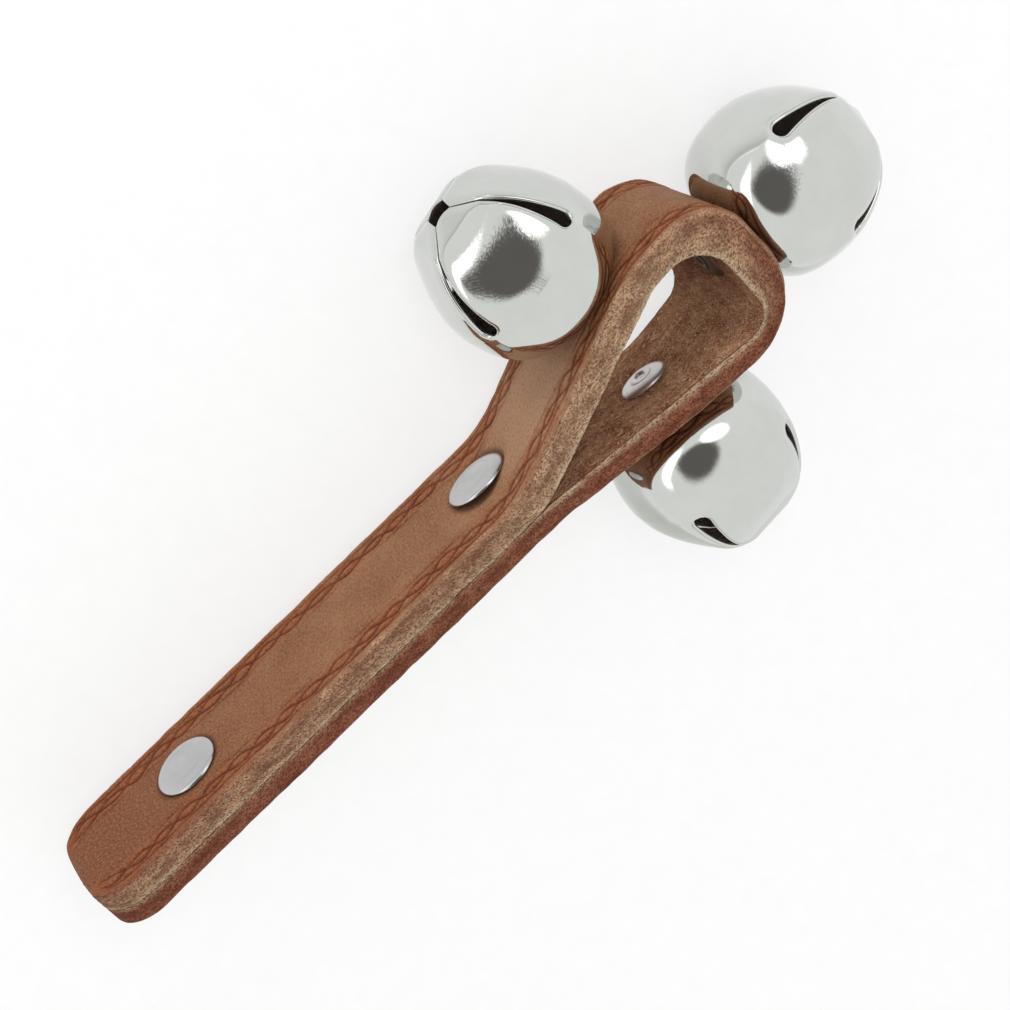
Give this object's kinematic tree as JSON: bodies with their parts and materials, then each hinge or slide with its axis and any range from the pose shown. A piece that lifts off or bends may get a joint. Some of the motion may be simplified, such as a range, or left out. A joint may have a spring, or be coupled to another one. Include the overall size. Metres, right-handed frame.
{
  "type": "sleigh bells",
  "caption": "Hand-held sleigh bells: a thick leather strap folded into a riveted handle and a loop, with slotted metal jingle bells riveted round the loop and a loose pellet in each.",
  "frame": {"origin": "middle of the handle's butt end, between the two layers of leather", "axes": "+X along the handle towards the tip of the loop, +Y out of the handle's front face, +Z across the strap's width, up when it lies on the sides of its bells"},
  "size_m": [0.1894, 0.0894, 0.0362],
  "materials": {
    "leather": "smooth grain face with an embossed border, fibrous cut edges and a rough flesh side",
    "bell_nickel": "bright nickel plate on stamped steel sheet",
    "rivet_nickel": "satin nickel plate",
    "pellet_steel": "plain steel ball"
  },
  "bodies": {
    "holder": {"leather_strap": "leather", "lower_rivet_cap": "rivet_nickel", "lower_rivet_socket": "rivet_nickel", "upper_rivet_cap": "rivet_nickel", "upper_rivet_socket": "rivet_nickel", "front_bell_shell": "bell_nickel", "front_bell_rivet": "rivet_nickel", "front_bell_washer": "rivet_nickel", "tip_bell_shell": "bell_nickel", "tip_bell_rivet": "rivet_nickel", "tip_bell_washer": "rivet_nickel", "back_bell_shell": "bell_nickel", "back_bell_rivet": "rivet_nickel", "back_bell_washer": "rivet_nickel"},
    "front_bell_pellet": {"front_bell_pellet": "pellet_steel"},
    "tip_bell_pellet": {"tip_bell_pellet": "pellet_steel"},
    "back_bell_pellet": {"back_bell_pellet": "pellet_steel"}
  },
  "joints": [
    {"name": "front_bell_pellet_roll", "type": "hinge", "parent": "holder", "child": "front_bell_pellet", "pos_m": [0.12856, 0.03153, -0.00052], "axis": [-0.2213, 0.9739, -0.0506], "continuous": true},
    {"name": "tip_bell_pellet_roll", "type": "hinge", "parent": "holder", "child": "tip_bell_pellet", "pos_m": [0.17219, 0.00517, -0.00122], "axis": [0.9856, -0.0793, -0.1495], "continuous": true},
    {"name": "back_bell_pellet_roll", "type": "hinge", "parent": "holder", "child": "back_bell_pellet", "pos_m": [0.12891, -0.02353, 0.00099], "axis": [-0.0696, -0.9951, 0.0698], "continuous": true}
  ]
}
